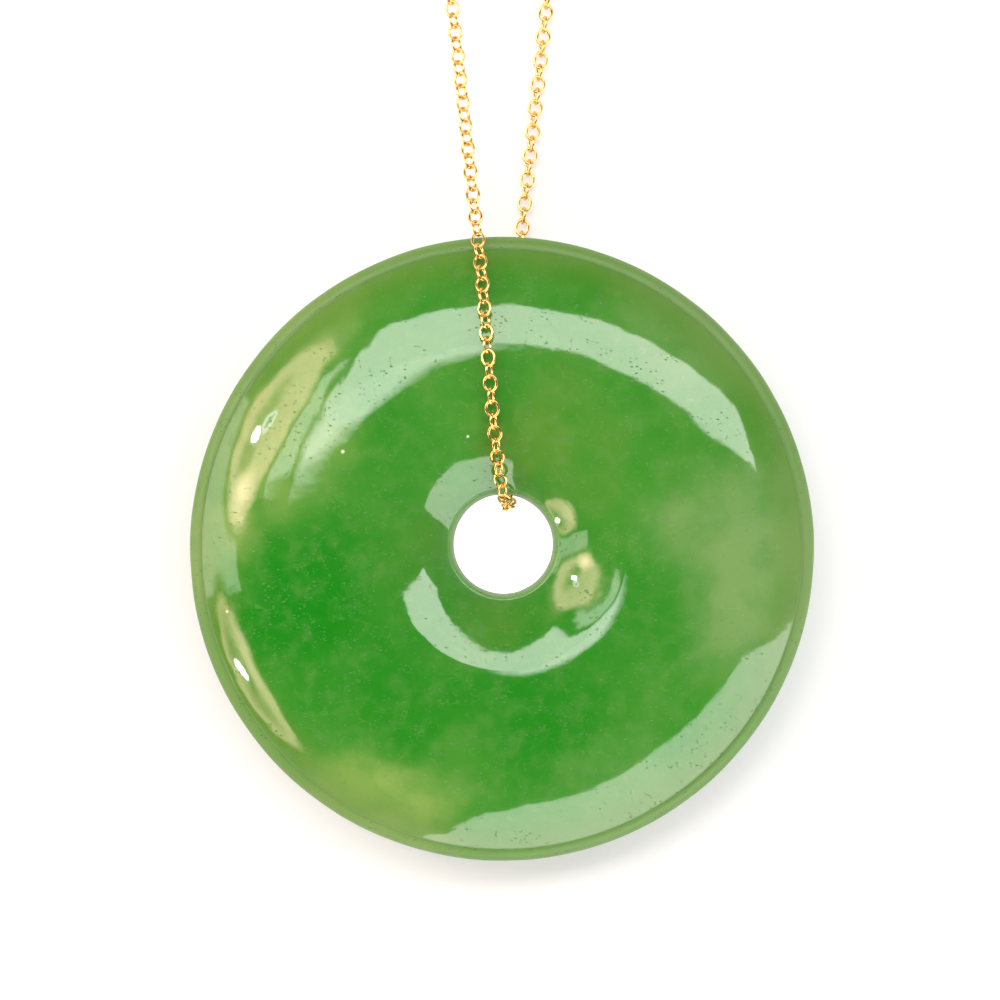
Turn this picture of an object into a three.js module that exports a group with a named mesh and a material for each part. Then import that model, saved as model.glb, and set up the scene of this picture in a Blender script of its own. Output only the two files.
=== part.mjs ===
// A carved jade bi disc threaded on a fine gold chain, lying face up on a table.
// Millimetres, +Z up. The origin is on the table, under the middle of the disc.
// The back strand of the chain runs under the disc, so the disc leans on it at +Y
// and touches the table at -Y.

import * as THREE from 'three';

// Jade disc
const discDiameter = 50;
const discThickness = 9.6;
const crownDiameter = 26.4;
const restRingWidth = 1.2;
const rimWidth = 0.96;
const rimThickness = 2.4;
const holeDiameter = 7.94;
const lipWidth = 0.5;
const lipThickness = 3.4;
const holeShiftX = 0.1;
const holeShiftY = 0.38;

// Gold chain
const chainWidth = 1.2;
const chainToDisc = 0.15;
const chainToTable = 0.03;

// Coil of spare chain
const coilX = 0;
const coilY = 63.5;
const coilMeanDiameter = 12.4;
const coilTurnPitch = 1.22;
const coilTurnsPerLayer = 4;
const coilLayers = 2;
const coilChamfer = 0.35;

// Barrel clasp
const claspX = 4.15;
const claspY = 49.4;
const claspTurnDegrees = -6.3;
const claspDiameter = 2.2;
const claspLength = 6;
const claspNeckDiameter = 1.2;
const claspNeckLength = 0.5;
const claspShoulder = 0.4;
const claspThreadDiameter = 1.1;
const claspThreadLength = 1.5;
const claspClearance = 0.3;

// Smoothness of the faceted solids
const discSegments = 72;
const archSteps = 7;
const edgeSteps = 4;
const chainSides = 8;
const chainStepsPerWidth = 0.5;
const coilSegments = 48;
const claspSegments = 16;

const discRadius = discDiameter / 2;
const crownRadius = crownDiameter / 2;
const holeRadius = holeDiameter / 2;
const restInnerRadius = crownRadius - restRingWidth / 2;
const restOuterRadius = crownRadius + restRingWidth / 2;

// The chain under the far side of the rest ring lifts it by its own width and clearances.
const discLean = Math.asin((chainWidth + chainToDisc + chainToTable) / (restInnerRadius + restOuterRadius));
const discMiddleHeight = restOuterRadius * Math.sin(discLean) + (discThickness / 2) * Math.cos(discLean);

// Chain centre line from the clasp back along the table, under the disc and up through its hole,
// over the front face and down to the table again, as far as the coil.
const chainRunPoints = [
  [3.79, 46.1, 1.1], [3.64, 44.7, 0.86], [3.35, 42.0, 0.64], [2.80, 37.0, 0.64], [2.25, 32.0, 0.64],
  [1.75, 27.5, 0.64], [1.35, 23.0, 0.64], [1.05, 18.5, 0.64], [0.85, 13.5, 0.64], [0.75, 10.2, 0.64],
  [0.70, 7.8, 0.82], [0.66, 5.70, 1.65], [0.62, 4.25, 3.15], [0.56, 3.55, 4.70], [0.47, 3.40, 6.05],
  [0.33, 3.60, 7.25], [0.08, 4.30, 8.27], [-0.12, 5.15, 8.98], [-0.33, 6.65, 10.00], [-0.48, 8.10, 10.76],
  [-0.65, 9.60, 11.31], [-0.80, 11.10, 11.67], [-0.93, 12.90, 11.88], [-1.08, 14.80, 11.88],
  [-1.24, 16.90, 11.66], [-1.40, 19.00, 11.20], [-1.57, 21.10, 10.46], [-1.73, 22.75, 9.70],
  [-1.90, 24.45, 8.80], [-2.30, 28.0, 7.15], [-2.72, 32.0, 5.50], [-3.15, 36.0, 4.10],
  [-3.58, 40.0, 2.90], [-4.05, 44.0, 1.95], [-4.75, 48.0, 1.25], [-5.60, 51.0, 0.85],
  [-6.40, 53.0, 0.66], [-7.15, 54.8, 0.64], [-7.75, 56.5, 0.64],
];

// Chain centre line where it leaves the top of the coil, down to the clasp.
const chainTailPoints = [
  [8.40, 57.5, 1.45], [7.75, 56.3, 1.25], [6.60, 55.1, 1.10], [5.40, 54.05, 1.05], [4.51, 52.7, 1.1],
];

const jade = new THREE.MeshStandardMaterial({ color: 0x4d9a3c, roughness: 0.18, metalness: 0 });
const gold = new THREE.MeshStandardMaterial({ color: 0xd6a84e, roughness: 0.25, metalness: 1 });

// A quarter of an ellipse from the middle plane of the disc up to a face, along r from centre.
function quarterRound(centre, width, height) {
  const points = [];
  for (let i = 0; i <= edgeSteps; i += 1) {
    const turn = (i / edgeSteps) * (Math.PI / 2);
    points.push(new THREE.Vector2(centre + width * Math.cos(turn), height * Math.sin(turn)));
  }
  return points;
}

// A circular arc that leaves the crown level and falls towards an edge.
function arch(start, end, topHeight, endHeight) {
  const run = Math.abs(end - start);
  const drop = topHeight - endHeight;
  const radius = (run * run + drop * drop) / (2 * drop);
  const sweep = Math.asin(run / radius);
  const points = [];
  for (let i = 0; i <= archSteps; i += 1) {
    const turn = sweep * (i / archSteps);
    const along = start + Math.sign(end - start) * radius * Math.sin(turn);
    points.push(new THREE.Vector2(along, topHeight - radius * (1 - Math.cos(turn))));
  }
  return points;
}

// One face of the disc from the throat of the hole out to the rim's outermost line.
function faceProfile(flatWidth) {
  const top = discThickness / 2;
  const lip = quarterRound(holeRadius + lipWidth, -lipWidth, lipThickness / 2);
  const inner = arch(crownRadius - flatWidth / 2, holeRadius + lipWidth, top, lipThickness / 2);
  const outer = arch(crownRadius + flatWidth / 2, discRadius - rimWidth, top, rimThickness / 2);
  const rim = quarterRound(discRadius - rimWidth, rimWidth, rimThickness / 2);
  const crownJoin = flatWidth > 0 ? outer : outer.slice(1);
  return [...lip, ...inner.reverse().slice(1), ...crownJoin, ...rim.reverse().slice(1)];
}

// The hole was drilled a little off the middle, and the slope around it follows it.
function shiftHole(geometry) {
  const position = geometry.attributes.position;
  for (let i = 0; i < position.count; i += 1) {
    const x = position.getX(i);
    const y = position.getY(i);
    const reach = (Math.hypot(x, y) - holeRadius) / (restInnerRadius - holeRadius);
    const share = 0.5 + 0.5 * Math.cos(Math.PI * THREE.MathUtils.clamp(reach, 0, 1));
    position.setXY(i, x + holeShiftX * share, y + holeShiftY * share);
  }
}

function lathe(profile, segments) {
  const geometry = new THREE.LatheGeometry(profile, segments);
  geometry.rotateX(Math.PI / 2);
  return geometry;
}

function makeDisc() {
  const front = faceProfile(0).reverse();
  const back = faceProfile(restRingWidth).map((point) => new THREE.Vector2(point.x, -point.y));
  const loop = [...back, ...front.slice(1)];
  const geometry = lathe(loop, discSegments);
  shiftHole(geometry);
  const disc = new THREE.Mesh(geometry, jade);
  disc.name = 'jade_disc';
  disc.position.z = discMiddleHeight;
  disc.rotation.x = discLean;
  return disc;
}

function makeChainTube(name, points) {
  const path = new THREE.CatmullRomCurve3(points.map((point) => new THREE.Vector3(...point)));
  const section = new THREE.Shape();
  for (let i = 0; i < chainSides; i += 1) {
    const turn = ((i + 0.5) / chainSides) * Math.PI * 2;
    const x = (chainWidth / 2) * Math.cos(turn);
    const y = (chainWidth / 2) * Math.sin(turn);
    if (i === 0) section.moveTo(x, y);
    else section.lineTo(x, y);
  }
  section.closePath();
  const steps = Math.round((path.getLength() / chainWidth) * chainStepsPerWidth);
  const geometry = new THREE.ExtrudeGeometry(section, { steps, extrudePath: path });
  const tube = new THREE.Mesh(geometry, gold);
  tube.name = name;
  return tube;
}

// The wound turns as one ring, as wide and as high as the chain lies in it.
function makeChainCoil() {
  const windingWidth = coilTurnPitch * coilTurnsPerLayer + chainWidth;
  const inner = (coilMeanDiameter - windingWidth) / 2;
  const outer = (coilMeanDiameter + windingWidth) / 2;
  const height = chainWidth * coilLayers;
  const profile = [
    [inner + coilChamfer, 0], [outer - coilChamfer, 0], [outer, coilChamfer],
    [outer, height - coilChamfer], [outer - coilChamfer, height], [inner + coilChamfer, height],
    [inner, height - coilChamfer], [inner, coilChamfer], [inner + coilChamfer, 0],
  ].map(([r, z]) => new THREE.Vector2(r, z));
  const coil = new THREE.Mesh(lathe(profile, coilSegments), gold);
  coil.name = 'chain_coil';
  coil.position.set(coilX, coilY, 0);
  return coil;
}

// Both halves of the screw clasp are turned on one axis, which is local z along the chain.
function makeClaspHalf(name, profile, mirrored) {
  const points = profile.map(([r, z]) => new THREE.Vector2(r, z));
  const half = new THREE.Mesh(lathe(points, claspSegments), gold);
  half.name = name;
  half.rotation.x = mirrored ? Math.PI / 2 : -Math.PI / 2;
  return half;
}

function makeClasp() {
  const radius = claspDiameter / 2;
  const neck = claspNeckDiameter / 2;
  const thread = claspThreadDiameter / 2;
  const bore = thread + claspClearance;
  const halfLength = claspLength / 2;
  const bodyEnd = halfLength - claspNeckLength;
  const face = claspClearance / 2;
  const boreDepth = claspThreadLength - claspClearance / 2 + claspClearance;
  const socket = makeClaspHalf('clasp_socket', [
    [0, boreDepth], [bore, boreDepth], [bore, face], [radius, face], [radius, bodyEnd - claspShoulder],
    [radius - claspShoulder, bodyEnd], [neck, bodyEnd], [neck, halfLength], [0, halfLength],
  ], false);
  const plug = makeClaspHalf('clasp_plug', [
    [0, -claspThreadLength], [thread, -claspThreadLength], [thread, face], [radius, face],
    [radius, bodyEnd - claspShoulder], [radius - claspShoulder, bodyEnd], [neck, bodyEnd],
    [neck, halfLength], [0, halfLength],
  ], true);
  const clasp = new THREE.Group();
  clasp.add(socket, plug);
  clasp.position.set(claspX, claspY, radius);
  clasp.rotation.z = THREE.MathUtils.degToRad(claspTurnDegrees);
  return clasp;
}

const pendant = new THREE.Group();
pendant.add(
  makeDisc(),
  makeChainTube('chain_run', chainRunPoints),
  makeChainCoil(),
  makeChainTube('chain_tail', chainTailPoints),
  makeClasp(),
);

export default pendant;
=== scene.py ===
"""Jade bi disc threaded on a fine gold chain, lying face up on a pale table.

The packed model gives the places and sizes. This file carves the polished disc, links the
chain, turns the barrel clasp, mixes the jade and gold, and sets the studio. Lengths are metres.
"""

import math

import bpy
import numpy as np
from bpy.props import (
    FloatProperty,
    FloatVectorProperty,
    IntProperty,
    PointerProperty,
)
from mathutils import Euler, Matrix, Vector, noise


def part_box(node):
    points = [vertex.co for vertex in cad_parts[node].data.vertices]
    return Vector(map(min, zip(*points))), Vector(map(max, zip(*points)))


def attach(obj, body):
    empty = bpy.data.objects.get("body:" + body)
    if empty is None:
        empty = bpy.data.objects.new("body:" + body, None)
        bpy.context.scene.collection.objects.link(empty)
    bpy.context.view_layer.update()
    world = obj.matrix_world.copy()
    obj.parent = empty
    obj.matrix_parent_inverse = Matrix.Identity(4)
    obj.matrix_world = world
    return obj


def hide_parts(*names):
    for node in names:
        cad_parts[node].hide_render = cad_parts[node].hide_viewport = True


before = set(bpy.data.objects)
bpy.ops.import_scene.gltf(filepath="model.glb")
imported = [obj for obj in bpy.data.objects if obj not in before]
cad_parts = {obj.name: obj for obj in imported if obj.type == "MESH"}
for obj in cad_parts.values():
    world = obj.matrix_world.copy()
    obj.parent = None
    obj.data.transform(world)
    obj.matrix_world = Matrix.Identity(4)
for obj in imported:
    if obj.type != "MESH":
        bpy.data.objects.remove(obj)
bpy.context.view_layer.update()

bl_info = {
    "name": "Jade bi disc",
    "version": (1, 0, 0),
    "blender": (4, 5, 0),
    "location": "View3D > Sidebar > Jade",
    "description": "Carves a jade bi disc and threads it on a fine gold chain",
    "category": "Add Mesh",
}

MM = 0.001
DISC_LOW, DISC_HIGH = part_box("jade_disc")
COIL_LOW, COIL_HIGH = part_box("chain_coil")
PHOTO_WIDTH_PX = 1000

# The chain's centre line from the clasp along the table, under the disc, up through its hole,
# over the front face and down to the table again, as far as the coil.
CHAIN_RUN = [
    (0.00379, 0.0461, 0.0011), (0.00364, 0.0447, 0.00086), (0.00335, 0.042, 0.00064),
    (0.0028, 0.037, 0.00064), (0.00225, 0.032, 0.00064), (0.00175, 0.0275, 0.00064),
    (0.00135, 0.023, 0.00064), (0.00105, 0.0185, 0.00064), (0.00085, 0.0135, 0.00064),
    (0.00075, 0.0102, 0.00064), (0.0007, 0.0078, 0.00082), (0.00066, 0.0057, 0.00165),
    (0.00062, 0.00425, 0.00315), (0.00056, 0.00355, 0.0047), (0.00047, 0.0034, 0.00605),
    (0.00033, 0.0036, 0.00725), (0.00008, 0.0043, 0.00827), (-0.00012, 0.00515, 0.00898),
    (-0.00033, 0.00665, 0.01), (-0.00048, 0.0081, 0.01076), (-0.00065, 0.0096, 0.01131),
    (-0.0008, 0.0111, 0.01167), (-0.00093, 0.0129, 0.01188), (-0.00108, 0.0148, 0.01188),
    (-0.00124, 0.0169, 0.01166), (-0.0014, 0.019, 0.0112), (-0.00157, 0.0211, 0.01046),
    (-0.00173, 0.02275, 0.0097), (-0.0019, 0.02445, 0.0088), (-0.0023, 0.028, 0.00715),
    (-0.00272, 0.032, 0.0055), (-0.00315, 0.036, 0.0041), (-0.00358, 0.04, 0.0029),
    (-0.00405, 0.044, 0.00195), (-0.00475, 0.048, 0.00125), (-0.0056, 0.051, 0.00085),
    (-0.0064, 0.053, 0.00066), (-0.00715, 0.0548, 0.00064), (-0.00775, 0.0565, 0.00064),
]
# Where the chain leaves the top of the coil, down to the clasp.
CHAIN_TAIL = [
    (0.0084, 0.0575, 0.00145), (0.00775, 0.0563, 0.00125), (0.0066, 0.0551, 0.0011),
    (0.0054, 0.05405, 0.00105), (0.00451, 0.0527, 0.0011),
]
# The point of the run where the chain rises out of the hole over its lip.
LIP_POINT = 16

# Slope in degrees of the front face at a distance in millimetres from its middle, from the
# level crown down to the lip.
INNER_SLOPES = [
    (13.2, 0), (11.6, 2.8), (10.2, 11), (9.15, 20.8), (8.3, 22.2), (7.5, 23.9), (6.9, 27),
    (6.25, 30), (4.8, 34.5), (4.47, 38),
]
# Rings of the front face that aren't round the middle: radius, and how far towards +X and +Y
# they lie, in millimetres.
RING_SHIFTS = [
    (3.9, 0.1, 0.38), (4.4, 0.1, 0.38), (6.0, 0.15, 0.42), (7.6, 0.2, 0.42), (9.2, 0.2, 0.38),
    (11.0, 0.1, 0.18), (13.2, 0, 0), (25, 0, 0),
]

# Greens of the jade, as sRGB out of 255, with the painted glint and the painted shade of the groove and
# the pits among them.
GREENS = {
    "heart": (18, 121, 14),
    "leaf": (61, 131, 40),
    "olive": (84, 128, 42),
    "straw": (134, 161, 84),
    "mist": (116, 150, 88),
    "fibre": (150, 190, 100),
    "fleck": (170, 200, 110),
    # painted glint: near-white for small spots of light on the polish
    "glint": (236, 240, 214),
    "rim": (90, 124, 40),
    # painted shade: a darker green for the crease between the face and the rim
    "groove": (52, 104, 40),
    "lip": (132, 172, 104),
    "throat": (110, 112, 46),
    # painted shade: the dark green that darkens the pits
    "pit_shade": (22, 70, 18),
}

# Soft clouds in the jade: green, centre x and y on the disc and radius in millimetres, strength.
CLOUDS = [
    ("mist", 20.5, -1.0, 10.0, 0.9),
    ("mist", 16.5, 17.5, 7.5, 0.48),
    ("mist", 9.0, -19.5, 6.0, 0.3),
    ("straw", -9.0, -21.0, 6.5, 0.75),
    ("straw", -14.5, 19.5, 6.0, 0.3),
    ("straw", -18.0, 9.0, 6.5, 0.45),
    ("straw", -22.5, -0.5, 5.0, 0.8),
    ("straw", -4.5, -17.0, 3.5, 0.25),
    ("olive", 3.2, 8.5, 6.0, 0.7),
    ("olive", 0.5, -5.8, 4.5, 0.35),
    ("olive", -6.5, 1.0, 4.0, 0.35),
    ("heart", -16.2, -4.6, 9.5, 1.0),
    ("heart", -6.5, -12.5, 7.5, 0.75),
    ("heart", 3.5, -13.0, 8.0, 0.85),
    ("heart", 11.0, -5.0, 7.0, 0.65),
    ("heart", -9.5, 9.5, 6.0, 0.4),
    ("heart", 7.0, 21.5, 4.5, 0.3),
]

# Painted glints, small white spots of light on the polish: centre x and y on the disc and radius, in
# millimetres.
GLINT_SPOTS = [(-2.72, 8.95, 0.13), (-12.66, 7.75, 0.17), (-21.95, -5.0, 0.14)]

WHITE = (1.0, 0.97, 0.95)
MINT = (0.98, 0.97, 0.86)
CREAM = (1.0, 0.66, 0.48)

# The room's lights as the disc sees them: shape, frame of its box, box (left, right, bottom,
# top), softness of its border, radiance and tint. A later light hides the ones before it.
# The slope frame counts steps towards +X and +Y for one step up. The turn frame holds degrees:
# azimuth from +Y towards +X, then tilt away from straight up. The side frame looks level at the
# azimuth of the side softbox, and counts steps sideways and up for one step ahead; its sides
# draw together towards the top, as those of a panel that leans over the disc.
LIGHTS = [
    ("window", "slope", (-0.50, -0.15, 0.16, 0.50), 0.10, 7.0, WHITE),
    ("window", "slope", (-0.50, 0.0, 0.29, 0.50), 0.10, 6.8, WHITE),
    ("window", "slope", (-0.50, 1.36, 0.40, 0.88), 0.03, 6.0, WHITE),
    ("window", "slope", (-0.86, -0.57, 0.20, 0.68), 0.05, 4.2, MINT),
    ("window", "turn", (-99, -60, 54.5, 88), 1.2, 2.9, MINT),
    ("window", "side", (-1.44, 1.75, 0.10, 0.88), 0.04, 4.0, WHITE),
    ("oval", "turn", (-88, -38.5, 41, 69), 0.06, 0.4, CREAM),
    ("oval", "turn", (-83.5, -40, 43, 66.5), 0.1, 7.0, CREAM),
    ("oval", "turn", (-79, -44, 48, 64), 0.7, 5.4, CREAM),
    ("oval", "turn", (-77, -54, 55.5, 61), 0.5, 1.8, CREAM),
    ("oval", "turn", (-83, -74, 50, 58.5), 0.8, 15.0, CREAM),
    ("oval", "turn", (-63.6, -59.4, 53.0, 56.6), 0.15, 10.0, WHITE),
    ("oval", "turn", (-62.6, -60.4, 53.9, 55.7), 0.3, 2.0, CREAM),
    ("oval", "turn", (-67.2, -63.0, 56.2, 59.4), 0.2, 60.0, WHITE),
    ("oval", "turn", (-139, -96, 58.0, 75.5), 0.06, 0.4, CREAM),
    ("oval", "turn", (-135.5, -99.5, 59.8, 73.0), 0.1, 5.8, CREAM),
    ("oval", "turn", (-122, -106, 59.2, 63.2), 0.8, 8.0, CREAM),
    ("oval", "turn", (-128, -104, 64.7, 70.7), 0.5, 1.6, CREAM),
    ("oval", "turn", (-118, -112.5, 66.9, 69.9), 0.2, 50.0, WHITE),
]
SIDE_AZIMUTH = 147


def length_property(name, description, default):
    return FloatProperty(name=name, description=description, unit="LENGTH", default=default)


class DiscSizes(bpy.types.PropertyGroup):
    """Sizes of the jade disc."""
    diameter: length_property("Diameter", "Across the rim", DISC_HIGH.x - DISC_LOW.x)
    thickness: length_property("Thickness", "From crown to crown", 9.6 * MM)
    crown_diameter: length_property(
        "Crown diameter", "Across the highest ring of a face", 26.4 * MM)
    rest_ring_width: length_property("Rest ring", "Flat ring on the back crown", 1.2 * MM)
    rim_width: length_property("Rim width", "Rounded edge band, seen from above", 0.96 * MM)
    rim_thickness: length_property("Rim thickness", "Height of the edge band", 2.4 * MM)
    hole_diameter: length_property("Hole", "Narrowest width of the hole", 7.94 * MM)
    lip_width: length_property("Lip width", "Rounded band in the hole, seen from above", 0.5 * MM)
    lip_thickness: length_property("Lip thickness", "Height of the band in the hole", 3.4 * MM)
    hole_shift: FloatVectorProperty(
        name="Hole shift", description="How far off the middle the hole was drilled",
        size=2, unit="LENGTH", default=(0.1 * MM, 0.38 * MM))
    chain_lift: length_property(
        "Chain lift", "How far the chain under the far side lifts the disc", 1.38 * MM)
    polish_depth: length_property(
        "Polish waves", "Height of the waves left by hand polishing", 0.028 * MM)
    polish_length: length_property(
        "Polish wave length", "Distance from one polish wave to the next", 4.2 * MM)
    segments: IntProperty(
        name="Segments", description="Steps round the disc", default=360, min=24, max=360)


class ChainSizes(bpy.types.PropertyGroup):
    """Sizes of the gold chain and its clasp."""
    width: length_property("Width", "Outer width of a link", 1.22 * MM)
    link_length: length_property("Link length", "Outer length of a link", 1.5 * MM)
    wire: length_property("Wire", "Thickness of the gold wire", 0.235 * MM)
    slack: length_property(
        "Slack", "How much closer the links lie where the chain is loose", 0.055 * MM)
    settling: length_property("Settling", "How far the links sink onto the face", 0.2 * MM)
    necklace_length: length_property(
        "Necklace length", "Length of the whole loop with its clasp", 455 * MM)
    coil_mean_diameter: length_property("Coil", "Across the middle of the coil's turns", 12.4 * MM)
    coil_pitch: length_property("Turn spacing", "From one turn of the coil to the next", 1.22 * MM)
    coil_turns_per_layer: IntProperty(
        name="Turns in a layer", description="Turns of the coil beside each other", default=4)
    clasp_diameter: length_property("Clasp diameter", "Across the barrel of the clasp", 2.2 * MM)
    clasp_length: length_property("Clasp length", "From end to end of the barrel", 6 * MM)


class FinishLook(bpy.types.PropertyGroup):
    """Colours and gloss of the jade and the gold."""
    jade_gloss: FloatProperty(
        name="Jade roughness", description="0 is a mirror polish", subtype="FACTOR",
        default=0.055, min=0, max=1)
    jade_depth: FloatProperty(
        name="Jade translucency", description="Share of light that scatters inside",
        subtype="FACTOR", default=0.22, min=0, max=1)
    gold_colour: FloatVectorProperty(
        name="Gold", description="Colour of the gold", subtype="COLOR", size=4,
        default=(0.96, 0.62, 0.21, 1), min=0, max=1)
    gold_gloss: FloatProperty(
        name="Gold roughness", description="0 is a mirror polish", subtype="FACTOR",
        default=0.13, min=0, max=1)


class StudioLook(bpy.types.PropertyGroup):
    """Camera, table and lights."""
    camera_distance: length_property("Camera distance", "From the disc to the camera", 0.6)
    disc_radius_px: FloatProperty(
        name="Disc radius in the picture", description="In pixels of the photograph",
        subtype="PIXEL", default=312)
    disc_centre_px: FloatVectorProperty(
        name="Disc centre in the picture", description="In pixels of the photograph",
        size=2, default=(502, 548.7))
    table_glow: FloatProperty(
        name="Table glow", description="Light that the pale table gives back by itself",
        default=0.405, min=0)
    light_distance: length_property("Light distance", "From the disc to the farthest light", 2)
    hole_glow: FloatProperty(
        name="Glow under the hole", description="More light on the table under the disc's hole",
        default=0.62, min=0)
    table_colour: FloatProperty(
        name="Table tone", description="How pale the table is", subtype="FACTOR",
        default=0.5, min=0, max=1)


def linear(colour):
    """An sRGB colour out of 255 as the linear colour that a shader takes."""
    out = []
    for value in colour:
        share = value / 255
        out.append(share / 12.92 if share <= 0.04045 else ((share + 0.055) / 1.055) ** 2.4)
    return (*out, 1.0)


def settings(group):
    return getattr(bpy.context.scene, group)


# Meshes

def new_object(name, vertices, faces, material):
    mesh = bpy.data.meshes.new(name)
    mesh.from_pydata([tuple(v) for v in vertices], [], faces)
    mesh.validate()
    mesh.update()
    mesh.shade_smooth()
    mesh.materials.append(material)
    piece = bpy.data.objects.new(name, mesh)
    bpy.context.scene.collection.objects.link(piece)
    return piece


def revolve(profile, segments, closed):
    """Vertices and faces of a profile of (r, z) turned about z. An open one starts and ends
    on the axis."""
    profile = np.array(profile)
    turn = np.arange(segments) * 2 * math.pi / segments
    body = profile if closed else profile[1:-1]
    rings = len(body)
    r = body[:, 0][:, None]
    z = np.broadcast_to(body[:, 1][:, None], (rings, segments))
    vertices = np.stack([r * np.cos(turn), r * np.sin(turn), z], 2).reshape(-1, 3)
    faces = []
    for ring in range(rings if closed else rings - 1):
        a = ring * segments
        b = ((ring + 1) % rings) * segments
        for k in range(segments):
            n = (k + 1) % segments
            faces.append((a + k, a + n, b + n, b + k))
    if not closed:
        first, last = len(vertices), len(vertices) + 1
        ends = [(0, 0, profile[0][1]), (0, 0, profile[-1][1])]
        vertices = np.concatenate([vertices, ends])
        top = (rings - 1) * segments
        for k in range(segments):
            n = (k + 1) % segments
            faces.append((first, n, k))
            faces.append((last, top + k, top + n))
    return vertices, faces


def quarter_round(centre, width, height, steps):
    """Points from the middle plane up an ellipse to the face, centre being its radius."""
    turns = np.linspace(0, math.pi / 2, steps + 1)
    return [(centre + width * math.cos(t), height * math.sin(t)) for t in turns]


def arch(start, end, top, end_height, steps):
    """A circular arc that leaves the crown level and falls towards an edge."""
    run, drop = abs(end - start), top - end_height
    radius = (run * run + drop * drop) / (2 * drop)
    turns = np.linspace(0, math.asin(run / radius), steps + 1)
    side = math.copysign(1, end - start)
    return [(start + side * radius * math.sin(t), top - radius * (1 - math.cos(t))) for t in turns]


def eased_slope(start, top, slopes, steps):
    """A face that falls from the crown by the slopes listed along it."""
    eased = smooth_line(slopes)
    r = np.linspace(start, slopes[-1][0] * MM, steps + 1)
    tangents = np.tan(np.radians(np.interp(-r, -eased[:, 0] * MM, eased[:, 1])))
    falls = (tangents[1:] + tangents[:-1]) / 2 * -np.diff(r)
    z = top - np.concatenate([[0], np.cumsum(falls)])
    return list(zip(r, z))


def crisp_end(points):
    """The points with one more just before the last, so that the crease there stays narrow."""
    (r, z), (end_r, end_z) = points[-2:]
    share = 0.9
    return points[:-1] + [(r + (end_r - r) * share, z + (end_z - z) * share), points[-1]]


def face_profile(sizes, front):
    """One face of the disc from the throat of the hole out to the rim's outermost line. The back
    has a flat ring on its crown."""
    top, crown = sizes.thickness / 2, sizes.crown_diameter / 2
    hole, edge = sizes.hole_diameter / 2, sizes.diameter / 2
    lip_start, rim_start = hole + sizes.lip_width, edge - sizes.rim_width
    lip_steps, rim_steps = 10, 12
    if front:
        flat, steps = 0, 46
        inner = eased_slope(crown, top, INNER_SLOPES, steps)
    else:
        flat, steps = sizes.rest_ring_width, 24
        inner = arch(crown - flat / 2, lip_start, top, sizes.lip_thickness / 2, steps)
    outer = arch(crown + flat / 2, rim_start, top, sizes.rim_thickness / 2, steps)
    lip = quarter_round(lip_start, -sizes.lip_width, inner[-1][1], lip_steps)
    rim = quarter_round(rim_start, sizes.rim_width, sizes.rim_thickness / 2, rim_steps)
    inner, outer, lip, rim = (crisp_end(part) for part in (inner, outer, lip, rim))
    if front:
        outer = outer[1:]
    return lip + inner[::-1][1:] + outer + rim[::-1][1:]


def disc_pose(sizes):
    """Lean and middle height of the disc, which rests on the chain at its far side."""
    lean = math.asin(sizes.chain_lift / sizes.crown_diameter)
    rest = (sizes.crown_diameter + sizes.rest_ring_width) / 2
    return lean, rest * math.sin(lean) + sizes.thickness / 2 * math.cos(lean)


def carve_disc(sizes):
    """The disc's vertices in its own frame, with the hole a little off the middle and the bowl
    round its front farther off."""
    front = face_profile(sizes, front=True)[::-1]
    back = [(r, -z) for r, z in face_profile(sizes, front=False)]
    vertices, faces = revolve(back + front[1:-1], sizes.segments, closed=True)
    hole = sizes.hole_diameter / 2
    rest_inner = (sizes.crown_diameter - sizes.rest_ring_width) / 2
    radius = np.hypot(vertices[:, 0], vertices[:, 1])
    share = 0.5 + 0.5 * np.cos(math.pi * np.clip((radius - hole) / (rest_inner - hole), 0, 1))
    eased = smooth_line(RING_SHIFTS) * MM
    front_side = vertices[:, 2] > 0
    for axis in (0, 1):
        of_ring = np.interp(radius, eased[:, 0], eased[:, axis + 1])
        vertices[:, axis] += np.where(front_side, of_ring, share * sizes.hole_shift[axis])
    return vertices, faces


def polish(piece, depth, length):
    """Pushes each point of the mesh in or out a little along its normal."""
    mesh = piece.data
    count = len(mesh.vertices)
    points = np.zeros(count * 3)
    normals = np.zeros(count * 3)
    mesh.vertices.foreach_get("co", points)
    mesh.vertex_normals.foreach_get("vector", normals)
    points = points.reshape(-1, 3)
    normals = normals.reshape(-1, 3)
    fine_share, fine_scale = 0.35, 2.3
    for i in range(count):
        spot = Vector(points[i]) / length
        wave = noise.noise(spot) + fine_share * noise.noise(spot * fine_scale)
        points[i] += normals[i] * wave * depth
    mesh.vertices.foreach_set("co", points.ravel())
    mesh.update()


def smooth_line(points, per_step=12):
    """A smooth curve through points, by their spacing's square root (centripetal)."""
    points = np.array(points, float)
    ends = [2 * points[0] - points[1]], [2 * points[-1] - points[-2]]
    knots = np.concatenate([ends[0], points, ends[1]])
    out = []
    for i in range(1, len(knots) - 2):
        p = knots[i - 1:i + 3]
        t = np.concatenate([[0], np.cumsum(np.sqrt(np.linalg.norm(np.diff(p, axis=0), axis=1)))])
        for s in np.linspace(t[1], t[2], per_step, endpoint=False):
            a = [((t[k + 1] - s) * p[k] + (s - t[k]) * p[k + 1]) / (t[k + 1] - t[k]) for k in range(3)]
            b = [((t[k + 2] - s) * a[k] + (s - t[k]) * a[k + 1]) / (t[k + 2] - t[k]) for k in range(2)]
            out.append(((t[2] - s) * b[0] + (s - t[1]) * b[1]) / (t[2] - t[1]))
    out.append(points[-1])
    return np.array(out)


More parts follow.
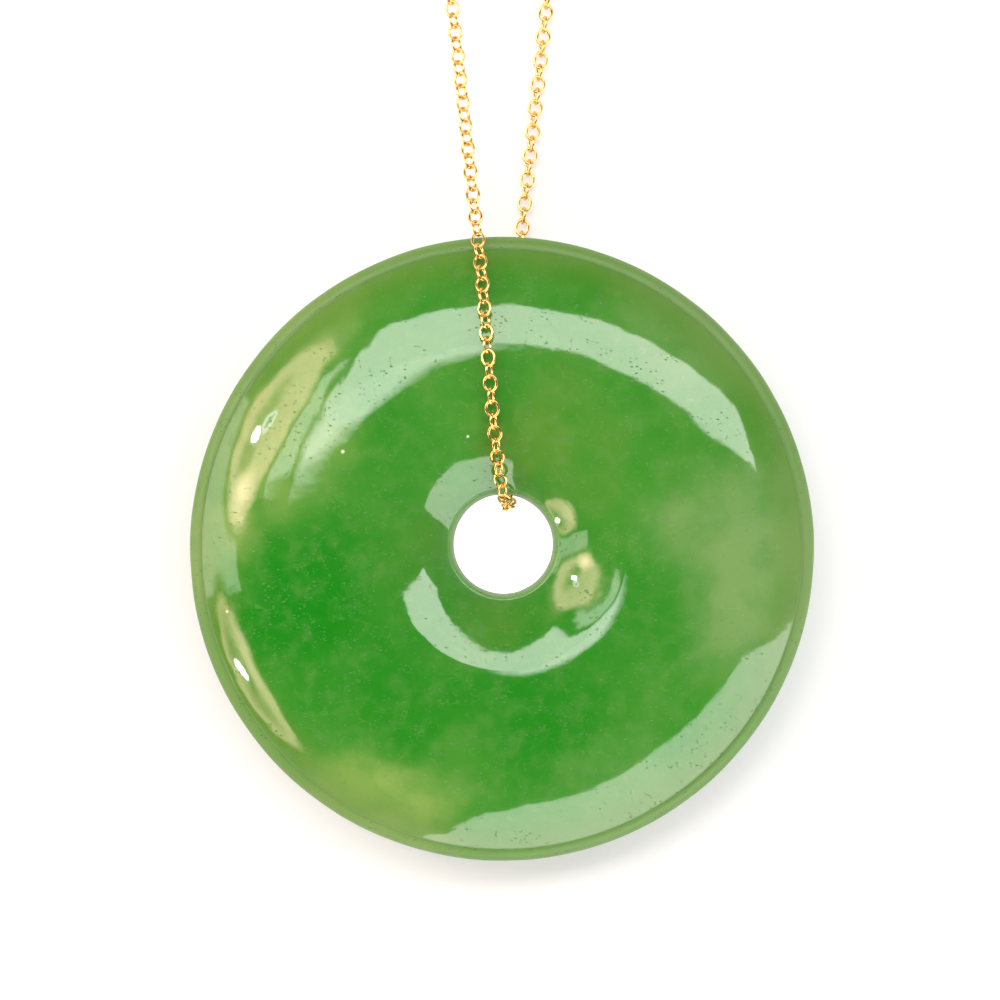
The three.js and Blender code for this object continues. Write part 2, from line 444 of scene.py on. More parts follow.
def coil_line(sizes):
    """Turns of the spare chain: inwards on the table, a step up, and outwards on top."""
    centre = (COIL_LOW + COIL_HIGH) / 2
    low = COIL_HIGH.z / 4
    high = 3 * low
    layer = sizes.coil_turns_per_layer
    reach = sizes.coil_pitch * layer / 2
    inner = sizes.coil_mean_diameter / 2 - reach
    outer = sizes.coil_mean_diameter / 2 + reach
    climb, end_turn = 0.25, 0.5
    total = 2 * layer + end_turn
    per_turn = 24
    points = []
    for k in range(int(total * per_turn) + 1):
        turn = k / per_turn
        if turn < layer:
            radius, height = outer - (outer - inner) * turn / layer, low
        elif turn < layer + climb:
            step = (turn - layer) / climb
            radius, height = inner, low + (high - low) * step * step * (3 - 2 * step)
        else:
            radius = inner + (outer - inner) * (turn - layer - climb) / (total - layer - climb)
            height = high
        angle = math.pi * (1 - 2 * turn)
        points.append((centre.x + radius * math.cos(angle),
                       centre.y + radius * math.sin(angle), height))
    return points


def chain_lines(sizes):
    """The chain from one clasp end to the other, and the whole loop from the hole's lip."""
    coil = coil_line(sizes)
    between_clasp_ends = smooth_line(CHAIN_RUN + coil + CHAIN_TAIL)
    loop = smooth_line(CHAIN_RUN[LIP_POINT:] + coil + CHAIN_TAIL + CHAIN_RUN[:LIP_POINT + 1])
    return between_clasp_ends, loop


def link_places(line, pitch, slack):
    """Places of the links along a line, closer together where it lies loose on the table, the
    line's directions there, and how far along it they are."""
    lengths = np.linalg.norm(np.diff(line, axis=0), axis=1)
    along = np.concatenate([[0], np.cumsum(lengths)])
    loose_below, fade = 2.2 * MM, 1 * MM
    loose = np.clip((loose_below - line[:, 2]) / fade, 0, 1)
    density = 1 / (pitch - slack * loose)
    counted = np.concatenate([[0], np.cumsum((density[1:] + density[:-1]) / 2 * lengths)])
    number = int(counted[-1])
    at = np.interp((np.arange(number) + 0.5) * counted[-1] / number, counted, along)
    places, ahead, behind = (
        np.stack([np.interp(spots, along, line[:, k]) for k in range(3)], 1)
        for spots in (at, at + pitch / 2, at - pitch / 2))
    tangents = ahead - behind
    return places, tangents / np.linalg.norm(tangents, axis=1)[:, None], at


def carried_sides(tangents):
    """A side direction for each link, turned no more than the line turns."""
    side = np.array([1.0, 0.0, 0.0])
    sides = []
    for t in tangents:
        side = side - t * side.dot(t)
        side /= np.linalg.norm(side)
        sides.append(side)
    return np.array(sides)


def link_rings(places, tangents, rolls, sizes, around=24, across=8):
    """One closed oval of round wire for each place, turned by its roll about the line."""
    sides = carried_sides(tangents)
    ups = np.cross(tangents, sides)
    long_half = (sizes.link_length - sizes.wire) / 2
    wide_half = (sizes.width - sizes.wire) / 2
    u = np.arange(around) * 2 * math.pi / around
    v = np.arange(across) * 2 * math.pi / across
    centre = np.stack([long_half * np.cos(u), wide_half * np.sin(u)], 1)
    outward = np.stack([wide_half * np.cos(u), long_half * np.sin(u)], 1)
    outward /= np.linalg.norm(outward, axis=1)[:, None]
    wire = sizes.wire / 2
    along = centre[:, None, 0] + outward[:, None, 0] * wire * np.cos(v)
    wide = centre[:, None, 1] + outward[:, None, 1] * wire * np.cos(v)
    thick = np.broadcast_to(wire * np.sin(v), (around, across))
    vertices = []
    faces = []
    for place, t, side, up, roll in zip(places, tangents, sides, ups, rolls):
        wide_way = side * math.cos(roll) + up * math.sin(roll)
        thick_way = np.cross(t, wide_way)
        ring = (place + along[..., None] * t + wide[..., None] * wide_way
                + thick[..., None] * thick_way)
        base = len(vertices) * around * across
        vertices.append(ring.reshape(-1, 3))
        for i in range(around):
            for j in range(across):
                a, b = i * across, ((i + 1) % around) * across
                n = (j + 1) % across
                faces.append((base + a + j, base + b + j, base + b + n, base + a + n))
    return np.concatenate(vertices), faces


def link_rolls(at):
    """Turn of each link about the line. Every other one is turned over, and all sway a little."""
    turned_over = math.radians(68)
    sway = 0.12 * np.sin(at / (7.3 * MM)) + 0.1 * np.sin(at / (2.9 * MM) + 1.1)
    return np.arange(len(at)) % 2 * turned_over + sway


def settle_on_disc(places, tangents, depth):
    """Lets the links that cross the face down onto it, square to the line."""
    up = np.array([0.0, 0.0, 1.0])
    normal = up - tangents * tangents[:, 2:3]
    normal /= np.linalg.norm(normal, axis=1)[:, None]
    start, end, fade, lowest = 5 * MM, 25.5 * MM, 1.5 * MM, 7 * MM
    y, z = places[:, 1], places[:, 2]
    over_face = np.clip((y - start) / fade, 0, 1) * np.clip((end - y) / fade, 0, 1) * (z > lowest)
    return places - normal * depth * over_face[:, None]


# Shader effects

def make_group(name, inputs, outputs):
    """An empty shader node group with its named sockets, and its two end nodes."""
    tree = bpy.data.node_groups.new(name, "ShaderNodeTree")
    for label, kind, value in inputs:
        socket = tree.interface.new_socket(label, in_out="INPUT", socket_type=kind)
        if value is not None:
            socket.default_value = value
    for label, kind in outputs:
        tree.interface.new_socket(label, in_out="OUTPUT", socket_type=kind)
    start = tree.nodes.new("NodeGroupInput")
    end = tree.nodes.new("NodeGroupOutput")
    return tree, start, end


def add(tree, kind, links=None, **values):
    """A node with its settings and inputs. links maps an input to the socket that feeds it."""
    node = tree.nodes.new(kind)
    for name, value in values.items():
        setattr(node, name, value)
    for key, source in (links or {}).items():
        target = node.inputs[key]
        if isinstance(source, bpy.types.NodeSocket):
            tree.links.new(source, target)
        else:
            target.default_value = source
    return node


def math_node(tree, operation, first, second=None):
    links = {0: first} if second is None else {0: first, 1: second}
    return add(tree, "ShaderNodeMath", links, operation=operation).outputs[0]


def times(tree, first, second):
    return math_node(tree, "MULTIPLY", first, second)


def vector_node(tree, operation, first, second=None):
    """A vector, or the number that a length or distance gives."""
    links = {0: first} if second is None else {0: first, 1: second}
    node = add(tree, "ShaderNodeVectorMath", links, operation=operation)
    return node.outputs["Value" if operation in ("LENGTH", "DISTANCE") else "Vector"]


def noise_node(tree, vector, scale, detail, **more):
    return add(tree, "ShaderNodeTexNoise", {"Vector": vector, "Scale": scale, "Detail": detail, **more})


def ramp(tree, value, start, end, first=0.0, last=1.0, curve="LINEAR"):
    """A number that goes from first to last while value goes from start to end."""
    return add(tree, "ShaderNodeMapRange", {"Value": value, "From Min": start, "From Max": end,
                                            "To Min": first, "To Max": last},
               interpolation_type=curve).outputs[0]


def mix_colour(tree, share, first, second, blend="MIX"):
    node = add(tree, "ShaderNodeMix", None, data_type="RGBA", blend_type=blend)
    for socket, value in ((node.inputs[0], share), (node.inputs[6], first), (node.inputs[7], second)):
        if isinstance(value, bpy.types.NodeSocket):
            tree.links.new(value, socket)
        else:
            socket.default_value = value
    return node.outputs[2]


def soft_zone_group():
    """A soft round cloud about a centre, with ragged borders when its vector is warped."""
    tree, start, end = make_group(
        "soft_zone",
        [("Vector", "NodeSocketVector", None), ("Centre", "NodeSocketVector", None),
         ("Radius", "NodeSocketFloat", 1.0), ("Strength", "NodeSocketFloat", 1.0)],
        [("Mask", "NodeSocketFloat")])
    vector, centre, radius, strength = start.outputs[:4]
    share = math_node(tree, "DIVIDE", vector_node(tree, "DISTANCE", vector, centre), radius)
    fade = ramp(tree, share, 0.2, 1.25, 1.0, 0.0, "SMOOTHERSTEP")
    tree.links.new(times(tree, fade, strength), end.inputs[0])
    return tree


def mottle_group():
    """Cloudy variation from 0 to 1, with a chosen grain size and contrast."""
    tree, start, end = make_group(
        "mottle",
        [("Vector", "NodeSocketVector", None), ("Scale", "NodeSocketFloat", 1.0),
         ("Detail", "NodeSocketFloat", 4.0), ("Low", "NodeSocketFloat", 0.35),
         ("High", "NodeSocketFloat", 0.65)],
        [("Value", "NodeSocketFloat")])
    vector, scale, detail, low, high = start.outputs[:5]
    cloud = noise_node(tree, vector, scale, detail)
    tree.links.new(ramp(tree, cloud.outputs[0], low, high, curve="SMOOTHSTEP"), end.inputs[0])
    return tree


def fine_marks_group():
    """Small pits and short scratches, 1 where the surface is marked."""
    tree, start, end = make_group(
        "fine_marks",
        [("Vector", "NodeSocketVector", None), ("Pit scale", "NodeSocketFloat", 1.0),
         ("Pit size", "NodeSocketFloat", 0.1), ("Scratch scale", "NodeSocketFloat", 1.0),
         ("Rarity", "NodeSocketFloat", 0.6)],
        [("Pits", "NodeSocketFloat"), ("Scratches", "NodeSocketFloat")])
    vector, pit_scale, pit_size, scratch_scale, rarity = start.outputs[:5]
    cells = add(tree, "ShaderNodeTexVoronoi", {"Vector": vector, "Scale": pit_scale})
    chance = add(tree, "ShaderNodeSeparateColor", {0: cells.outputs["Color"]})
    radius = times(tree, pit_size, math_node(tree, "ADD", chance.outputs[1], 0.5))
    dots = math_node(tree, "LESS_THAN", cells.outputs["Distance"], radius)
    chosen = math_node(tree, "GREATER_THAN", chance.outputs[0], rarity)
    tree.links.new(times(tree, dots, chosen), end.inputs[0])
    warp = noise_node(tree, vector, scratch_scale, 1.0)
    bent = vector_node(tree, "ADD", vector, warp.outputs["Color"])
    lines = add(tree, "ShaderNodeTexVoronoi", {"Vector": bent, "Scale": scratch_scale},
                feature="DISTANCE_TO_EDGE")
    hair = math_node(tree, "LESS_THAN", lines.outputs[0], 0.014)
    patches = noise_node(tree, vector, scratch_scale, 2.0)
    broken = math_node(tree, "GREATER_THAN", patches.outputs[0], rarity)
    tree.links.new(times(tree, hair, broken), end.inputs[1])
    return tree


def fibres_group():
    """Short curled threads, 1 along a thread and fading beside it."""
    tree, start, end = make_group(
        "fibres",
        [("Vector", "NodeSocketVector", None), ("Scale", "NodeSocketFloat", 1.0),
         ("Width", "NodeSocketFloat", 0.02), ("Rarity", "NodeSocketFloat", 0.55)],
        [("Mask", "NodeSocketFloat")])
    vector, scale, width, rarity = start.outputs[:4]
    hills = noise_node(tree, vector, scale, 2.0, Distortion=0.6)
    away = math_node(tree, "ABSOLUTE", math_node(tree, "SUBTRACT", hills.outputs[0], 0.5))
    thread = ramp(tree, away, 0.0, width, 1.0, 0.0)
    elsewhere = vector_node(tree, "ADD", vector, (37.0, 11.0, 5.0))
    patches = noise_node(tree, elsewhere, times(tree, scale, 1.7), 1.0)
    whole = math_node(tree, "ADD", rarity, 0.12)
    broken = ramp(tree, patches.outputs[0], rarity, whole)
    tree.links.new(times(tree, thread, broken), end.inputs[0])
    return tree


def effect(name, build):
    """The node group of that name, built the first time it is asked for."""
    return bpy.data.node_groups.get(name) or build()


def use_effect(tree, group, **inputs):
    node = add(tree, "ShaderNodeGroup", None, node_tree=group)
    for label, value in inputs.items():
        socket = node.inputs[label.replace("_", " ")]
        if isinstance(value, bpy.types.NodeSocket):
            tree.links.new(value, socket)
        else:
            socket.default_value = value
    return node


def new_material(name):
    material = bpy.data.materials.new(name)
    material.use_nodes = True
    shader = material.node_tree.nodes["Principled BSDF"]
    return material, material.node_tree, shader


def millimetres(tree):
    """The piece's own coordinates, counted in millimetres."""
    place = add(tree, "ShaderNodeTexCoord")
    return vector_node(tree, "MULTIPLY", place.outputs["Object"], (1 / MM,) * 3)


def stain(tree, colour, green, mask, strength=None):
    """The colour with one of the greens laid over it where the mask is, to some strength."""
    share = mask if strength is None else times(tree, mask, strength)
    return mix_colour(tree, share, colour, linear(GREENS[green]))


def jade_clouds(tree, spot):
    """The drifting greens of the stone."""
    warp = noise_node(tree, spot, 0.16, 3.0)
    centred = vector_node(tree, "SUBTRACT", warp.outputs["Color"], (0.5, 0.5, 0.5))
    pushed = vector_node(tree, "MULTIPLY", centred, (11.0, 11.0, 0.0))
    flat = vector_node(tree, "MULTIPLY", spot, (1.0, 1.0, 0.25))
    warped = vector_node(tree, "ADD", flat, pushed)
    zone = effect("soft_zone", soft_zone_group)
    colour = linear(GREENS["leaf"])
    for green, x, y, radius, strength in CLOUDS:
        mask = use_effect(tree, zone, Vector=warped, Centre=(x, y, 0.0), Radius=radius,
                          Strength=strength)
        colour = stain(tree, colour, green, mask.outputs[0])
    return colour


def jade_grain(tree, colour, spot, flat):
    """Mottling, felted fibres and pale flecks in the stone, and the few painted glints: small white
    spots of light on the polish.
    """
    mottle = effect("mottle", mottle_group)
    soft = use_effect(tree, mottle, Vector=spot, Scale=0.3, Detail=3.0, Low=0.42, High=0.72)
    colour = stain(tree, colour, "heart", soft.outputs[0], 0.3)
    milky = use_effect(tree, mottle, Vector=spot, Scale=0.75, Detail=4.0, Low=0.4, High=0.8)
    colour = stain(tree, colour, "mist", milky.outputs[0], 0.2)
    felt = use_effect(tree, effect("fibres", fibres_group), Vector=spot, Scale=0.7, Width=0.02,
                      Rarity=0.48)
    colour = stain(tree, colour, "fibre", felt.outputs[0], 0.11)
    flecks = use_effect(tree, effect("fine_marks", fine_marks_group), Vector=spot, Pit_scale=1.6,
                        Pit_size=0.07, Rarity=0.45)
    colour = stain(tree, colour, "fleck", flecks.outputs[0], 0.14)
    # Painted glints: small white spots of light laid into the colour.
    for x, y, radius in GLINT_SPOTS:
        glint = use_effect(tree, effect("soft_zone", soft_zone_group), Vector=flat,
                           Centre=(x, y, 0.0), Radius=radius, Strength=0.9)
        colour = stain(tree, colour, "glint", glint.outputs[0])
    return colour


def jade_edges(tree, colour, out, rim_start, from_hole, hole):
    """The thin rim with painted shade along the groove beside it, and the lip and throat of the hole.
    """
    thin = ramp(tree, out, rim_start - 3.5, rim_start + 0.6, 0.0, 0.7, "SMOOTHSTEP")
    colour = stain(tree, colour, "rim", thin)
    from_groove = math_node(tree, "ABSOLUTE", math_node(tree, "SUBTRACT", out, rim_start))
    # Painted shade: a darker green laid along the crease between the face and the rim.
    colour = stain(tree, colour, "groove", ramp(tree, from_groove, 0.03, 0.2, 0.25, 0.0))
    colour = stain(tree, colour, "lip", ramp(tree, from_hole, hole + 0.35, hole + 0.6, 0.35, 0.0))
    throat = ramp(tree, from_hole, hole + 0.02, hole + 0.14, 1.0, 0.0)
    return stain(tree, colour, "throat", throat)


def jade_pits(tree, spot):
    """Short dashes in patches, where the polish left small pits open."""
    dashes = vector_node(tree, "MULTIPLY", spot, (1.0, 2.2, 1.0))
    pits = use_effect(tree, effect("fine_marks", fine_marks_group), Vector=dashes, Pit_scale=2.5,
                      Pit_size=0.24, Rarity=0.5)
    where = use_effect(tree, effect("mottle", mottle_group), Vector=spot, Scale=0.4, Detail=2.0,
                       Low=0.45, High=0.55)
    return times(tree, pits.outputs[0], where.outputs[0])


def jade_material(look, sizes):
    material, tree, shader = new_material("polished_jade")
    spot = millimetres(tree)
    flat = vector_node(tree, "MULTIPLY", spot, (1.0, 1.0, 0.0))
    out = vector_node(tree, "LENGTH", flat)
    rim_start = (sizes.diameter / 2 - sizes.rim_width) / MM
    shift = [value / MM for value in sizes.hole_shift]
    from_hole = vector_node(tree, "DISTANCE", flat, (*shift, 0.0))
    hole = sizes.hole_diameter / 2 / MM

    colour = jade_clouds(tree, spot)
    colour = jade_grain(tree, colour, spot, flat)
    colour = jade_edges(tree, colour, out, rim_start, from_hole, hole)
    pitted = jade_pits(tree, spot)
    # Painted shade in the pits: their green is darkened so that they show dark within the highlights.
    colour = stain(tree, colour, "pit_shade", pitted, 0.5)
    tree.links.new(colour, shader.inputs["Base Color"])

    edge_worn = ramp(tree, out, rim_start - 0.12, rim_start - 0.04, 0.0, 0.5)
    lip_worn = ramp(tree, from_hole, hole + 0.4, hole + 0.6, 0.4, 0.0)
    worn = math_node(tree, "MAXIMUM", edge_worn, lip_worn)
    dull = math_node(tree, "MAXIMUM", worn, times(tree, pitted, 0.6))
    rough = math_node(tree, "ADD", dull, look.jade_gloss)
    tree.links.new(rough, shader.inputs["Roughness"])

    ripple = noise_node(tree, spot, 0.55, 2.0)
    height = times(tree, ripple.outputs[0], 0.011)
    bump = add(tree, "ShaderNodeBump", {"Height": height, "Distance": MM, "Strength": 1.0})
    tree.links.new(bump.outputs[0], shader.inputs["Normal"])

    shader.inputs["IOR"].default_value = 1.66
    shader.inputs["Subsurface Weight"].default_value = look.jade_depth
    shader.inputs["Subsurface Radius"].default_value = (0.5, 1.0, 0.35)
    shader.inputs["Subsurface Scale"].default_value = 1.2 * MM
    return material


def gold_material(name, look, tone):
    """Bright polished gold, a little deeper and duller where the polish is worn."""
    material, tree, shader = new_material(name)
    spot = millimetres(tree)
    worn = use_effect(tree, effect("mottle", mottle_group), Vector=spot, Scale=1.4, Detail=3.0,
                      Low=0.4, High=0.7)
    marks = use_effect(tree, effect("fine_marks", fine_marks_group), Vector=spot, Pit_scale=9.0,
                       Pit_size=0.12, Scratch_scale=4.0, Rarity=0.6)
    red, green, blue = (value * tone for value in look.gold_colour[:3])
    deep = (red, green * 0.94, blue * 0.85, 1.0)
    colour = mix_colour(tree, worn.outputs[0], tuple(look.gold_colour), deep)
    tree.links.new(colour, shader.inputs["Base Color"])
    scuffed = math_node(tree, "MAXIMUM", marks.outputs[0], marks.outputs[1])
    dull = math_node(tree, "ADD", times(tree, scuffed, 0.15), look.gold_gloss)
    rough = math_node(tree, "ADD", times(tree, worn.outputs[0], 0.07), dull)
    tree.links.new(rough, shader.inputs["Roughness"])
    bump = add(tree, "ShaderNodeBump", {"Height": scuffed, "Distance": 0.004 * MM,
                                        "Strength": 1.0}, invert=True)
    tree.links.new(bump.outputs[0], shader.inputs["Normal"])
    shader.inputs["Metallic"].default_value = 1.0
    return material


# Pieces

class JADE_OT_stage(bpy.types.Operator):
    """Set the camera, the pale table and the room with its soft lights"""
    bl_idname = "jade.stage"
    bl_label = "Set the studio"

    def execute(self, context):
        sizes, look = settings("jade_disc"), settings("jade_studio")
        lean, height = disc_pose(sizes)
        turn = Euler((lean, 0, 0)).to_matrix()
        middle = Vector((0, 0, height))
        place_camera(context, sizes, look, turn, middle)
        lay_table(look)
        dim_room(context)
        hang_lights(look, turn, middle)
        context.scene.view_settings.view_transform = "Standard"
        return {"FINISHED"}


def place_camera(context, sizes, look, turn, middle):
    """Looks straight at the disc's face, with the disc where the photograph has it."""
    per_px = sizes.diameter / 2 / look.disc_radius_px
    width = per_px * PHOTO_WIDTH_PX
    half = PHOTO_WIDTH_PX / 2
    aside = Vector((half - look.disc_centre_px[0], look.disc_centre_px[1] - half, 0)) * per_px
    data = bpy.data.cameras.new("camera")
    data.lens = data.sensor_width * look.camera_distance / width
    camera = bpy.data.objects.new("camera", data)
    context.scene.collection.objects.link(camera)
    camera.location = middle + turn @ (aside + Vector((0, 0, look.camera_distance)))
    camera.rotation_euler = turn.to_euler()
    context.scene.camera = camera


def lay_table(look):
    material, tree, shader = new_material("pale_table")
    grain = add(tree, "ShaderNodeTexNoise", {"Scale": 900.0, "Detail": 2.0})
    tone = ramp(tree, grain.outputs[0], 0.0, 1.0, look.table_colour * 0.99, look.table_colour * 1.01)
    paint = add(tree, "ShaderNodeCombineColor", {0: tone, 1: tone, 2: tone})
    tree.links.new(paint.outputs[0], shader.inputs["Base Color"])
    shader.inputs["Roughness"].default_value = 0.6
    away = vector_node(tree, "LENGTH", millimetres(tree))
    pool = ramp(tree, away, 5.0, 11.0, look.hole_glow, 0.0, "SMOOTHSTEP")
    shader.inputs["Emission Color"].default_value = (1, 1, 1, 1)
    glow = math_node(tree, "ADD", pool, look.table_glow)
    tree.links.new(glow, shader.inputs["Emission Strength"])
    half = 1.5
    corners = [(-half, -half, 0), (half, -half, 0), (half, half, 0), (-half, half, 0)]
    new_object("table", corners, [(0, 1, 2, 3)], material)


def dim_room(context):
    """Pale round the horizon, dim overhead, so that the top of the polish stays clear."""
    world = bpy.data.worlds.new("room")
    world.use_nodes = True
    tree = world.node_tree
    place = add(tree, "ShaderNodeTexCoord")
    split = add(tree, "ShaderNodeSeparateXYZ", {0: place.outputs["Generated"]})
    rise = ramp(tree, split.outputs[2], 0.1, 0.5, curve="SMOOTHSTEP")
    horizon, overhead = (0.85, 0.86, 0.85, 1), (0.1, 0.1, 0.1, 1)
    tone = mix_colour(tree, rise, horizon, overhead)
    tree.links.new(tone, tree.nodes["Background"].inputs["Color"])
    context.scene.world = world


def light_way(frame_name, across, up):
    """The direction from the disc to a place in one of the lights' frames."""
    if frame_name == "slope":
        return Vector((across, up, 1)).normalized()
    if frame_name == "turn":
        azimuth, tilt = math.radians(across), math.radians(up)
        level = Vector((math.sin(azimuth), math.cos(azimuth), 0))
        return level * math.sin(tilt) + Vector((0, 0, math.cos(tilt)))
    side = math.radians(SIDE_AZIMUTH)
    ahead = Vector((math.sin(side), math.cos(side), 0))
    aside = Vector((math.cos(side), -math.sin(side), 0))
    taper = 1.5
    drawn_in = 1 + taper * up
    return (ahead + aside * across / drawn_in + Vector((0, 0, up))).normalized()


def window_rows(box, softness):
    """Places over a box with a soft border, how strongly each glows, and the faces."""
    left, right, bottom, top = box
    half = softness / 2
    columns, rows = 9, 5
    across = [left - half, *np.linspace(left + half, right - half, columns), right + half]
    up = [bottom - half, *np.linspace(bottom + half, top - half, rows), top + half]
    places = [(a, b) for b in up for a in across]
    glows = [float(a not in (across[0], across[-1]) and b not in (up[0], up[-1]))
             for b in up for a in across]
    width = len(across)
    faces = [(row * width + k, row * width + k + 1, (row + 1) * width + k + 1, (row + 1) * width + k)
             for row in range(len(up) - 1) for k in range(width - 1)]
    return places, glows, faces


def oval_rings(box, softness):
    """Places over the oval that fits a box, how strongly each glows, and the faces."""
    left, right, bottom, top = box
    around = 40
    places = [((left + right) / 2, (bottom + top) / 2)]
    glows = [1.0]
    faces = []
    for share, glow in ((1 - softness, 1.0), (1 + softness, 0.0)):
        start = len(places)
        for k in range(around):
            turn = k * 2 * math.pi / around
            places.append((places[0][0] + (right - left) / 2 * share * math.cos(turn),
                           places[0][1] + (top - bottom) / 2 * share * math.sin(turn)))
            glows.append(glow)
            n = (k + 1) % around
            if start == 1:
                faces.append((0, start + k, start + n))
            else:
                faces.append((1 + k, start + k, start + n, 1 + n))
    return places, glows, faces


def panel_material(name, radiance, tint):
    """Glows where its glow is 1, and lets what is behind it through where it is 0."""
    material = bpy.data.materials.new(name)
    material.use_nodes = True
    tree = material.node_tree
    tree.nodes.clear()
    glow = add(tree, "ShaderNodeAttribute", None, attribute_name="glow")
    light = add(tree, "ShaderNodeEmission", {"Color": (*tint, 1), "Strength": radiance})
    clear = add(tree, "ShaderNodeBsdfTransparent")
    both = add(tree, "ShaderNodeMixShader", {0: glow.outputs["Fac"], 1: clear.outputs[0],
                                             2: light.outputs[0]})
    add(tree, "ShaderNodeOutputMaterial", {"Surface": both.outputs[0]})
    return material


def hang_lights(look, turn, middle):
    """The list's lights as glowing panels round the disc, which shows them in its polish. The
    picture itself doesn't show them."""
    nearer = 0.01
    for number, light in enumerate(LIGHTS):
        shape, frame_name, box, softness, radiance, tint = light
        layout = window_rows if shape == "window" else oval_rings
        places, glows, faces = layout(box, softness)
        distance = look.light_distance * (1 - nearer * number)
        points = [middle + turn @ light_way(frame_name, *place) * distance for place in places]
        name = f"light_{number + 1}"
        panel = new_object(name, points, faces, panel_material(name, radiance, tint))
        glow = panel.data.attributes.new("glow", "FLOAT", "POINT")
        glow.data.foreach_set("value", glows)
        panel.visible_camera = False


class JADE_OT_clasp(bpy.types.Operator):
    """Turn both halves of the gold barrel clasp"""
    bl_idname = "jade.clasp"
    bl_label = "Turn the clasp"

    def execute(self, context):
        sizes, look = settings("jade_chain"), settings("jade_look")
        gold = gold_material("clasp_gold", look, 0.9)
        half = sizes.clasp_length / 2
        radius = sizes.clasp_diameter / 2
        low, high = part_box("clasp_plug")
        socket_low, socket_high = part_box("clasp_socket")
        middle = (Vector(map(min, low, socket_low)) + Vector(map(max, high, socket_high))) / 2
        axis = Vector(CHAIN_TAIL[-1]) - Vector(CHAIN_RUN[0])
        axis.z = 0
        for name, node, way in (("clasp_socket_gold", "clasp_socket", 1),
                                ("clasp_plug_gold", "clasp_plug", -1)):
            profile = clasp_profile(radius, half, sizes.wire, way < 0)
            vertices, faces = revolve(profile, 72, closed=False)
            piece = new_object(name, vertices, faces, gold)
            piece.rotation_euler = (axis * way).to_track_quat("Z", "Y").to_euler()
            piece.location = (middle.x, middle.y, radius)
            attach(piece, "root")
            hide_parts(node)
        return {"FINISHED"}


def thread_profile(gap):
    """The plug's screw from its tip to the parting face."""
    crest, root, bevel = 0.55 * MM, 0.48 * MM, 0.08 * MM
    length, turns, plain_end = 1.5 * MM, 5, 0.2 * MM
    points = [(0, -length), (crest - bevel, -length)]
    for k in range(turns):
        z = -length + (k + 0.5) * (length - plain_end) / turns
        points += [(root, z - bevel), (crest, z)]
    return points + [(root, 0), (crest, gap)]


def clasp_profile(radius, half, wire, plug):
    """Half of the barrel from its parting face to its neck, with three grooves round the body
    and a rounded shoulder. The plug has its screw, and the socket a bore for it."""
    gap = 0.15 * MM
    bevel, rounding = 0.06 * MM, 0.08 * MM
    if plug:
        points = thread_profile(gap)
    else:
        bore, depth = 0.85 * MM, 1.65 * MM
        points = [(0, depth), (bore, depth), (bore, gap + bevel), (bore + bevel, gap)]
    band = 0.3 * MM
    points += [(radius - rounding, gap), (radius, gap + rounding), (radius, gap + band)]
    groove = radius - wire / 2
    for k in range(3):
        z = gap + band * (k + 1)
        points += [(groove, z + 0.05 * MM), (groove, z + 0.12 * MM),
                   (radius, z + 0.17 * MM), (radius, z + 0.27 * MM)]
    neck, neck_length, shoulder, shoulder_steps = 0.6 * MM, 0.5 * MM, 0.4 * MM, 6
    body_end = half - neck_length
    for turn in np.linspace(0, math.pi / 2, shoulder_steps + 1):
        points.append((radius - shoulder + shoulder * math.cos(turn),
                       body_end - shoulder + shoulder * math.sin(turn)))
    points += [(neck + 0.05 * MM, body_end), (neck, body_end + bevel),
               (neck, half - bevel), (neck - bevel, half), (0, half)]
    return points


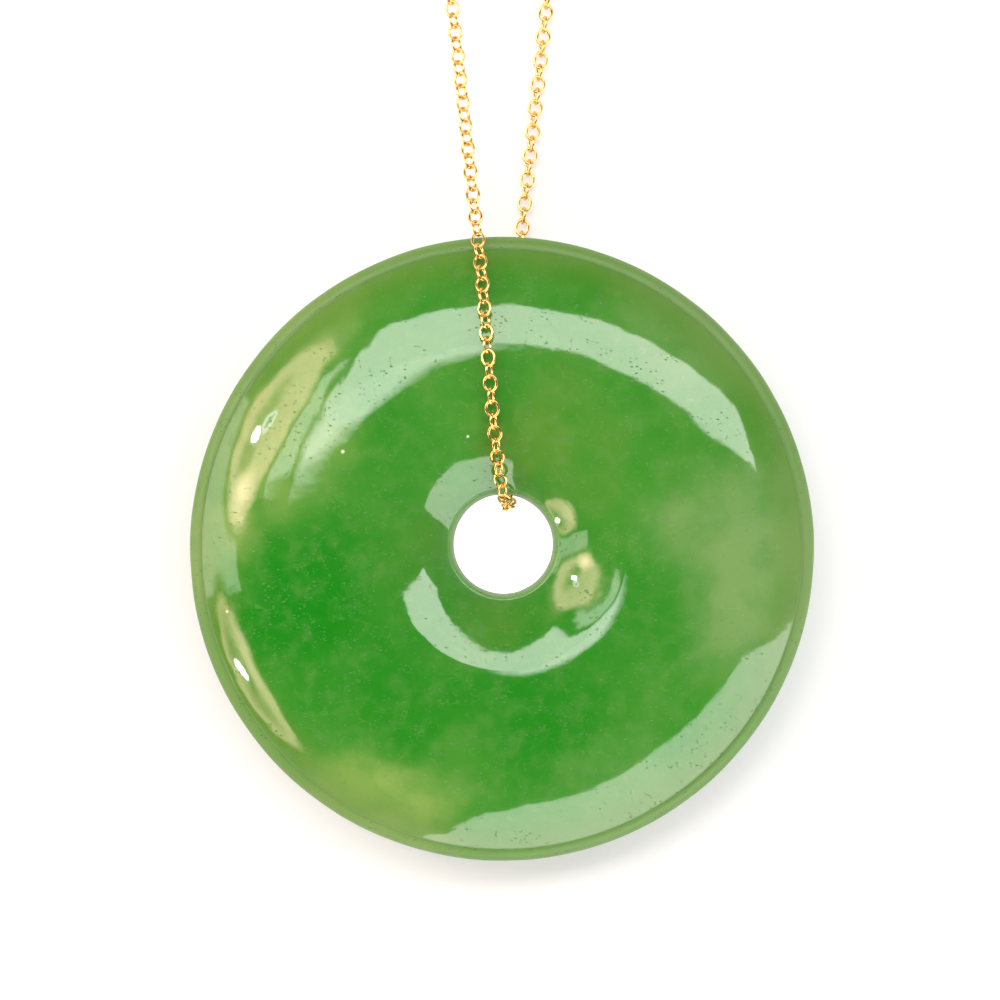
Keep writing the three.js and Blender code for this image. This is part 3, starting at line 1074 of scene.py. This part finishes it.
class JADE_OT_chain(bpy.types.Operator):
    """Link the gold chain along its route, with the spare length in its coil"""
    bl_idname = "jade.chain"
    bl_label = "Link the chain"

    def execute(self, context):
        sizes, look = settings("jade_chain"), settings("jade_look")
        line, loop = chain_lines(sizes)
        pitch = sizes.link_length - 2 * sizes.wire
        places, tangents, at = link_places(line, pitch, sizes.slack)
        places = settle_on_disc(places, tangents, sizes.settling)
        vertices, faces = link_rings(places, tangents, link_rolls(at), sizes)
        gold = gold_material("chain_gold", look, 0.94)
        chain = new_object("gold_chain", vertices, faces, gold)
        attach(chain, "root")
        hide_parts("chain_run", "chain_coil", "chain_tail")
        return {"FINISHED"}


class JADE_OT_disc(bpy.types.Operator):
    """Carve and polish the jade disc"""
    bl_idname = "jade.disc"
    bl_label = "Carve the disc"

    def execute(self, context):
        sizes, look = settings("jade_disc"), settings("jade_look")
        vertices, faces = carve_disc(sizes)
        disc = new_object("carved_jade_disc", vertices, faces, jade_material(look, sizes))
        polish(disc, sizes.polish_depth, sizes.polish_length)
        lean, height = disc_pose(sizes)
        disc.rotation_euler.x = lean
        disc.location.z = height
        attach(disc, "root")
        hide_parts("jade_disc")
        return {"FINISHED"}


class JADE_PT_panel(bpy.types.Panel):
    """Lists the disc's pieces and sizes in the sidebar"""
    bl_idname = "JADE_PT_panel"
    bl_label = "Jade bi disc"
    bl_space_type = "VIEW_3D"
    bl_region_type = "UI"
    bl_category = "Jade"

    def draw(self, context):
        for operator in OPERATORS:
            self.layout.operator(operator.bl_idname)
        for name, group in SETTINGS.items():
            box = self.layout.box()
            box.label(text=group.__doc__)
            for field in group.__annotations__:
                box.prop(getattr(context.scene, name), field)


OPERATORS = (JADE_OT_stage, JADE_OT_clasp, JADE_OT_chain, JADE_OT_disc)
SETTINGS = {
    "jade_disc": DiscSizes,
    "jade_chain": ChainSizes,
    "jade_look": FinishLook,
    "jade_studio": StudioLook,
}


def register():
    for group in SETTINGS.values():
        bpy.utils.register_class(group)
    for operator in OPERATORS:
        bpy.utils.register_class(operator)
    bpy.utils.register_class(JADE_PT_panel)
    for name, group in SETTINGS.items():
        setattr(bpy.types.Scene, name, PointerProperty(type=group))


def unregister():
    for name in SETTINGS:
        delattr(bpy.types.Scene, name)
    bpy.utils.unregister_class(JADE_PT_panel)
    for operator in reversed(OPERATORS):
        bpy.utils.unregister_class(operator)
    for group in reversed(SETTINGS.values()):
        bpy.utils.unregister_class(group)


def main():
    register()
    bpy.ops.jade.stage()
    bpy.ops.jade.clasp()
    bpy.ops.jade.chain()
    bpy.ops.jade.disc()


if __name__ == "__main__":
    main()
